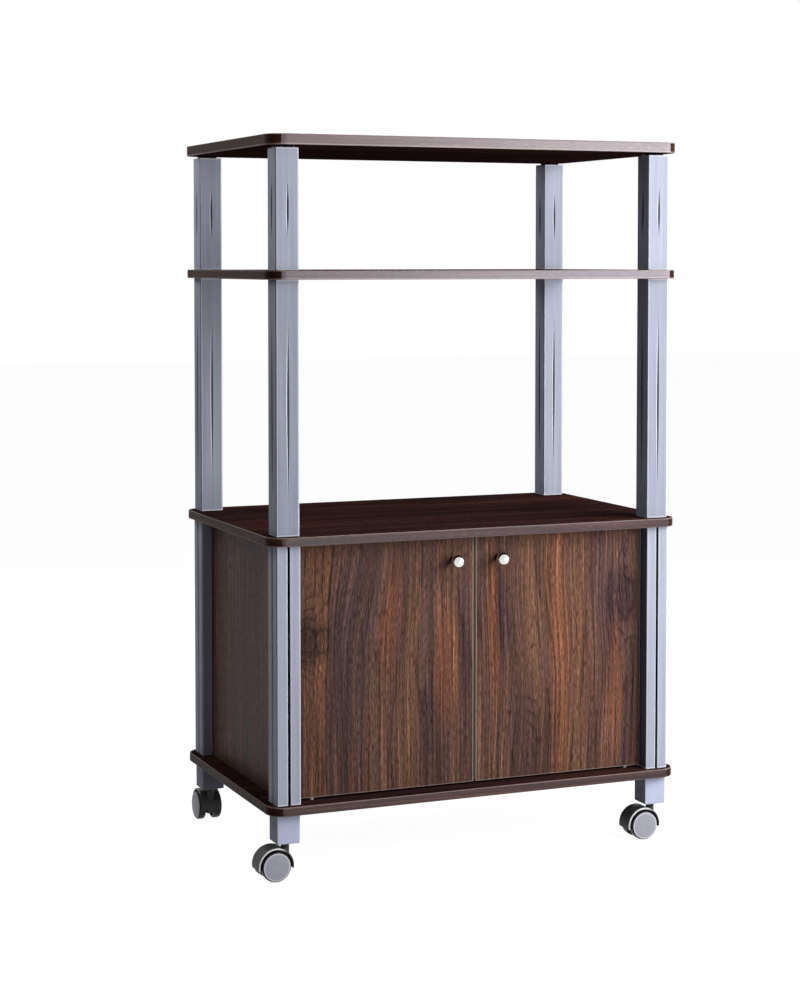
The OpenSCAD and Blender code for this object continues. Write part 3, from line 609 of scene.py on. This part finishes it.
def moulded_skin_group():
    """Fine unevenness of moulded plastic: faint tone changes, drawn marks, orange-peel height."""
    group, given, out = new_tree(
        "MouldedSkin", "ShaderNodeTree",
        [("Place", "NodeSocketVector", (0, 0, 0)), ("Color", "NodeSocketColor", (0.5, 0.5, 0.5, 1)),
         ("Mottle", "NodeSocketFloat", 0.06), ("Drawn", "NodeSocketFloat", 0.0)],
        [("Color", "NodeSocketColor"), ("Cloud", "NodeSocketFloat"), ("Height", "NodeSocketFloat")])
    cloud = noise(group, given["Place"], 22.0, 3.0)
    grain = noise(group, given["Place"], 1400.0, 2.0)
    upright = vector_maths(group, "MULTIPLY", given["Place"], (1.0, 1.0, 0.02))
    drawn = noise(group, upright, 260.0, 2.0)
    tone = 1.0 + (cloud - 0.5) * given["Mottle"] + (drawn - 0.5) * given["Drawn"]
    plug(group, out["Color"], scaled(group, given["Color"], tone))
    plug(group, out["Cloud"], cloud)
    plug(group, out["Height"], grain)
    return group


def recess_group():
    """Where a point lies on its upright post.

    Mask: 1 deep in the grooves and channels, 0 on the faces. From Arris and From Middle: distance
    from the nearest arris and from the middle of the face.
    """
    group, given, out = new_tree(
        "PostRecess", "ShaderNodeTree",
        [("Place", "NodeSocketVector", (0, 0, 0)), ("Half Width", "NodeSocketFloat", 0.016),
         ("Half Depth", "NodeSocketFloat", 0.016), ("Starts", "NodeSocketFloat", 0.0003),
         ("Full", "NodeSocketFloat", 0.003)],
        [("Mask", "NodeSocketFloat"), ("From Arris", "NodeSocketFloat"),
         ("From Middle", "NodeSocketFloat")])
    x, y, _ = (abs(part) for part in split(group, given["Place"]))
    off_x, off_y = abs(x - POST_X), abs(y - POST_Y)
    in_x, in_y = given["Half Width"] - off_x, given["Half Depth"] - off_y
    plug(group, out["Mask"], in_x.least(in_y).spread(given["Starts"], given["Full"]))
    plug(group, out["From Arris"], in_x.most(in_y))
    plug(group, out["From Middle"], off_x.least(off_y))
    return group


SKIN = moulded_skin_group()
RECESS = recess_group()


def moulded_skin(tree, colour, mottle, drawn=0.0):
    """The shared skin on a piece of this colour."""
    return use_group(tree, SKIN, {"Place": object_place(tree), "Color": (*colour, 1.0),
                                  "Mottle": mottle, "Drawn": drawn})


def skin_surface(tree, shader, skin, colour, dull, bright, bump):
    """Colour, and the skin's roughness (dull to bright) and relief (bump metres high)."""
    plug(tree, shader.inputs["Base Color"], colour)
    plug(tree, shader.inputs["Roughness"], Term(tree, skin["Cloud"]).spread(0.3, 0.7, dull, bright))
    relief = put(tree, "ShaderNodeBump", None,
                 {"Strength": 0.2, "Distance": bump, "Height": skin["Height"]})
    plug(tree, shader.inputs["Normal"], relief.outputs["Normal"])


def moulded(name, colour, dull, bright, mottle=0.06, bump=0.00003, **principled):
    """Moulded plastic or plated metal with the shared skin."""
    material, tree, shader = new_material(name, **principled)
    skin = moulded_skin(tree, colour, mottle)
    skin_surface(tree, shader, skin, skin["Color"], dull, bright, bump)
    return material


def silver_post_plastic(name, section, starts, full, recess_shade, ends, lip=0.0, shade=0.0,
                        wall_shade=0.0, middle_shade=0.0):
    """Silver-grey posts with drawn lines, painted shade in the grooves and a painted highlight at the ends.

    Beside each arris the front and back faces get a painted highlight and the sides painted shade.
    section: width and depth. starts, full: depths where the painted recess shade begins and is full.
    ends: levels of the posts' ends. lip: where the painted highlight on a channel's lip ends, from the face's
    middle.
    shade: share of the painted recess shade on the sides that look at the panels and doors.
    wall_shade: share of painted shade on the groove walls that look to the left.
    middle_shade: painted shade, how much darker all posts but the rear right one are below the middle shelf.
    """
    material, tree, shader = new_material(name, Specular_IOR_Level=0.06)
    place, normal = object_place(tree), object_normal(tree)
    x, y, level = split(tree, place)
    rightwards, rearwards, _ = split(tree, normal)
    across, deep = abs(rightwards), abs(rearwards)
    skin = moulded_skin(tree, POST_SILVER, 0.10, 0.45)
    recess = use_group(tree, RECESS, {"Place": place, "Half Width": section[0] / 2,
                                      "Half Depth": section[1] / 2, "Starts": starts, "Full": full})
    from_arris, from_middle = Term(tree, recess["From Arris"]), Term(tree, recess["From Middle"])
    outside = 1.0 - Term(tree, recess["Mask"])

    # Painted shade below the middle shelf, on all posts but the rear right one.
    rear_right = x.over(0.0) * y.over(0.0)
    tone = 1.0 - (1.0 - level.over(MIDDLE_SHELF_Z)) * (1.0 - rear_right) * middle_shade
    # Painted shade on the inner sides, that look at the panels and doors.
    inner = 1.0 - abs(x).over(POST_X - section[0] / 2 + 0.0006)
    colour = mix_colour(tree, inner * shade, scaled(tree, skin["Color"], tone), recess_shade)

    # Painted highlight on the front and back faces beside each arris, painted shade on the sides.
    forward = deep.over(across)
    arris = Term(tree, use_group(tree, ARRIS, {"Normal": normal})["Mask"]) * 0.8
    strip = from_arris.spread(0.0012, 0.0026, 0.75, 0.0).most(arris)
    arris_highlight_and_shade = mix_colour(tree, forward, POST_SIDE_SHADE, POST_EDGE_HIGHLIGHT)
    colour = mix_colour(tree, strip * outside, colour, arris_highlight_and_shade)

    # Painted shade on the groove walls that look to the left.
    left_wall = (0.0 - rightwards).spread(0.08, 0.30) * deep.over(0.3)
    in_groove = 1.0 - from_middle.over(0.6 * GROOVE_WIDTH)
    colour = mix_colour(tree, left_wall * in_groove * wall_shade, colour, GROOVE_WALL_SHADE)

    # Painted highlight along the posts' ends and the channels' lips.
    from_end = abs(level - ends[0])
    for end in ends[1:]:
        from_end = from_end.least(abs(level - end))
    lines = from_end.spread(0.0012, 0.0024, 0.75, 0.0)
    if lip:
        lines = lines.most(from_middle.spread(lip - 0.0010, lip, 0.75, 0.0) * forward)
    colour = mix_colour(tree, lines * outside, colour, POST_EDGE_HIGHLIGHT)
    # Painted shade deep in the grooves and channels.
    colour = mix_colour(tree, recess["Mask"], colour, recess_shade)
    skin_surface(tree, shader, skin, colour, 0.52, 0.42, 0.00002)
    return material


def silver_foot_plastic():
    """The feet's plastic: a shade lighter than the posts', with painted shade on the sides and the rear feet."""
    material, tree, shader = new_material("foot_plastic", Specular_IOR_Level=0.06)
    normal = object_normal(tree)
    skin = moulded_skin(tree, FOOT_SILVER, 0.10, 0.12)
    # Painted shade on the sides and on the rear feet.
    sides = abs(split(tree, normal)[0]).spread(0.6, 0.95, 0.0, 0.55)
    rear_feet = split(tree, object_place(tree))[1].over(0.0) * 0.65
    shade_share = sides.most(rear_feet)
    colour = mix_colour(tree, shade_share, skin["Color"], FOOT_SHADE)
    # Painted highlight on the arrises, less where the painted shade lies.
    painted_highlight = Term(tree, use_group(tree, ARRIS, {"Normal": normal})["Mask"])
    colour = mix_colour(tree, painted_highlight * (0.9 - shade_share), colour, FOOT_EDGE_HIGHLIGHT)
    skin_surface(tree, shader, skin, colour, 0.52, 0.42, 0.00002)
    return material


def knob_chrome():
    """Polished ball; its neck and its rear side carry a painted dark reflection."""
    material, tree, shader = new_material("polished_chrome", Metallic=1.0)
    skin = moulded_skin(tree, CHROME, 0.02)
    # Painted dark reflection behind the ball's front.
    behind = split(tree, object_place(tree))[1].spread(BALL_FRONT_Y, BALL_BACK_Y)
    colour = mix_colour(tree, behind, skin["Color"], CHROME_DARK_REFLECTION)
    skin_surface(tree, shader, skin, colour, 0.12, 0.06, 0.00003)
    return material


def joint_of(child):
    """The joint that carries a body."""
    return next(joint for joint in frame["joints"] if joint["child"] == child)


def wheel_plastic(corner):
    """Black tread, and a silver-grey cap outside with a painted highlight round its rim."""
    material, tree, shader = new_material(f"{corner}_wheel_plastic", Specular_IOR_Level=0.15)
    axle = joint_of(f"{corner}_wheel_a")
    away = vector_maths(tree, "SUBTRACT", object_place(tree), axle["pos_m"])
    beside = Term(tree, vector_maths(tree, "DOT_PRODUCT", away, axle["axis"]))
    length = Term(tree, vector_maths(tree, "LENGTH", away))
    radius = (length * length - beside * beside).math("SQRT")
    cap = (1.0 - radius.over(CAP_RADIUS)) * abs(beside).over(CAP_FROM)
    tread, silver = moulded_skin(tree, TREAD_BLACK, 0.2), moulded_skin(tree, CAP_SILVER, 0.2)
    # Painted highlight round the cap's rim.
    rim = radius.spread(0.0160, 0.0172, 0.0, 0.65)
    cap_colour = mix_colour(tree, rim, silver["Color"], CAP_RIM_HIGHLIGHT)
    colour = mix_colour(tree, cap, tread["Color"], cap_colour)
    skin_surface(tree, shader, tread, colour, 0.40, 0.28, 0.00003)
    return material


def hood_plastic(corner):
    """Grained charcoal hood; the lip round its open ends carries a painted highlight, least at its front."""
    material, tree, shader = new_material(f"{corner}_hood_plastic", Specular_IOR_Level=0.2)
    axle, swivel = joint_of(f"{corner}_wheel_a"), joint_of(f"{corner}_caster")
    trails = Vector(axle["pos_m"]) - Vector(swivel["pos_m"])
    trails.z = 0.0
    away = vector_maths(tree, "SUBTRACT", object_place(tree), axle["pos_m"])
    beside = abs(Term(tree, vector_maths(tree, "DOT_PRODUCT", away, axle["axis"])))
    behind = Term(tree, vector_maths(tree, "DOT_PRODUCT", away, trails.normalized()))
    skin = moulded_skin(tree, HOOD_CHARCOAL, 0.35)
    # Painted highlight on the lip round the open ends, fading towards the front.
    lip_highlight = beside.over(HOOD_LIP_FROM) * behind.spread(-0.015, -0.005) * 0.9
    colour = mix_colour(tree, lip_highlight, skin["Color"], HOOD_LIP_HIGHLIGHT)
    skin_surface(tree, shader, skin, colour, 0.56, 0.46, 0.00012)
    return material


def finish_all():
    """Gives each CAD node that stays its finish."""
    side = upright_foil("left_side_foil", "left_side_panel", 1, 0.47, -0.05)
    other_side = upright_foil("right_side_foil", "right_side_panel", 1, 0.71, -0.04)
    back = upright_foil("back_panel_foil", "back_panel", 0, 0.61, -0.05)
    channelled = silver_post_plastic("cabinet_post_plastic", CABINET_POST, 0.0006, 0.0022,
                                     CHANNEL_SHADE, CABINET_POST_ENDS, lip=0.0036, shade=0.7)
    foot = silver_foot_plastic()
    black = moulded("charcoal_plastic", (0.030, 0.031, 0.034), 0.52, 0.40, 0.25, 0.00012)
    chrome = knob_chrome()
    zinc = moulded("zinc_plate", (0.62, 0.62, 0.64), 0.38, 0.26, 0.10, Metallic=1.0)
    nylon = moulded("white_nylon", (0.80, 0.79, 0.74), 0.55, 0.45, 0.05)
    chosen = {"left_door": left_door_foil(), "right_door": right_door_foil(), "back_panel": back,
              "left_side_panel": side, "right_side_panel": other_side, "catch_housing": nylon,
              "left_door_bushes": nylon, "right_door_bushes": nylon}
    for corner in CORNERS:
        chosen[f"{corner}_cabinet_post"] = channelled
        chosen[f"{corner}_foot"] = foot
        chosen[f"{corner}_caster_housing"] = hood_plastic(corner)
        wheel = wheel_plastic(corner)
        chosen[f"{corner}_wheel_a"] = chosen[f"{corner}_wheel_b"] = wheel
    by_slot = {"black_plastic": black, "steel": zinc, "chrome": chrome}
    for entry in frame["record"]["subparts"]:
        material = chosen.get(entry["node"]) or by_slot.get(entry["material_slot"])
        if material:
            data = nodes[entry["node"]].data
            data.materials.clear()
            data.materials.append(material)


# ------------------------------------------------------------------ studio

def seen_directly(tree):
    """1 for camera, glossy and transmission rays, 0 for the rest."""
    path = put(tree, "ShaderNodeLightPath").outputs
    seen = Term(tree, path["Is Camera Ray"])
    return seen.most(path["Is Glossy Ray"]).most(path["Is Transmission Ray"])


def studio_floor():
    """Wide pale floor, white to what looks at it and soft grey to the object's light."""
    mesh = bpy.data.meshes.new("floor")
    half = 14.0
    mesh.from_pydata([(-half, -half, 0), (half, -half, 0), (half, half, 0), (-half, half, 0)], [],
                     [(0, 1, 2, 3)])
    floor = bpy.data.objects.new("floor", mesh)
    scene.collection.objects.link(floor)
    material = bpy.data.materials.new("pale_floor")
    material.use_nodes = True
    tree = material.node_tree
    tree.nodes.clear()
    diffuse = put(tree, "ShaderNodeBsdfDiffuse", None, {"Color": (0.30, 0.30, 0.30, 1.0)})
    glow = put(tree, "ShaderNodeEmission", None,
               {"Color": (1.0, 1.0, 1.0, 1.0), "Strength": seen_directly(tree) * 0.95})
    both = put(tree, "ShaderNodeAddShader", None, {0: diffuse.outputs[0], 1: glow.outputs[0]})
    put(tree, "ShaderNodeOutputMaterial", None, {"Surface": both.outputs[0]})
    mesh.materials.append(material)


def studio_world():
    """White to what looks at it, and a weak, slightly cool light on the object."""
    world = bpy.data.worlds.new("studio")
    scene.world = world
    world.use_nodes = True
    tree = world.node_tree
    tree.nodes.clear()
    seen = seen_directly(tree)
    back = put(tree, "ShaderNodeBackground", None,
               {"Color": mix_colour(tree, seen, (0.86, 0.91, 1.0), (1.0, 1.0, 1.0)),
                "Strength": seen.spread(0.0, 1.0, 0.10, 1.0)})
    put(tree, "ShaderNodeOutputWorld", None, {"Surface": back.outputs[0]})


def softbox(name, place, aim, size, power):
    """Rectangular area lamp; place, aim and size in metres, power in watts."""
    light = bpy.data.lights.new(name, "AREA")
    light.shape = "RECTANGLE"
    light.size, light.size_y = size
    light.energy = power
    lamp = bpy.data.objects.new(name, light)
    lamp.location = place
    lamp.rotation_euler = (Vector(aim) - Vector(place)).to_track_quat("-Z", "Y").to_euler()
    scene.collection.objects.link(lamp)


def photo_camera():
    """Camera at the photograph's place and angle."""
    look = Vector((0.38669, 0.92087, -0.04977))
    camera = bpy.data.objects.new("camera", bpy.data.cameras.new("camera"))
    camera.data.sensor_width = 36.0
    camera.data.lens = 78.075
    camera.data.shift_y = -0.13
    camera.location = (-1.2186, -2.8030, 0.8060)
    camera.rotation_euler = look.to_track_quat("-Z", "Y").to_euler()
    scene.collection.objects.link(camera)
    scene.camera = camera


block = fluted_block_tree()
board_face = board_face_foil()
# The side bands' tones are darker than the front bands' as painted shade on the same band, and differ from board
# to board.
foiled_boards(block, ("top_shelf", "middle_shelf"), board_face,
              edge_band_foil("shelf_front_band_foil", 1.0, (0.60, 0.58, 0.70), 0.55),
              edge_band_foil("shelf_side_band_foil", 0.02, (0.36, 0.24, 0.21), 0.30))
cabinet_front_band = edge_band_foil("cabinet_front_band_foil", 0.35, (0.60, 0.55, 0.62))
foiled_boards(block, ("cabinet_top",), board_face, cabinet_front_band,
              edge_band_foil("cabinet_side_band_foil", 0.02, (0.55, 0.46, 0.46)))
foiled_boards(block, ("base_board",), board_face, cabinet_front_band,
              edge_band_foil("base_side_band_foil", 0.02, (0.34, 0.25, 0.25)))
spindle_posts(block, silver_post_plastic("spindle_post_plastic", SPINDLE_POST, 0.0008, 0.0014,
                                         GROOVE_SHADE, SPINDLE_POST_ENDS, wall_shade=0.85,
                                         middle_shade=0.18))
finish_all()
studio_floor()
studio_world()
softbox("key_light", (1.04, -1.04, 0.98), (0.0, 0.0, 0.62), (1.3, 1.0), 29.0)
softbox("low_front_fill", (0.25, -2.0, 0.35), (0.0, 0.0, 0.20), (0.7, 0.5), 7.5)
softbox("left_fill", (-0.85, 0.45, 1.15), (-0.25, 0.10, 0.75), (0.4, 0.4), 2.2)
softbox("rear_fill", (0.9, 1.9, 1.2), (0.0, 0.0, 0.45), (1.0, 1.0), 17.0)
photo_camera()
scene.view_settings.view_transform = "Standard"
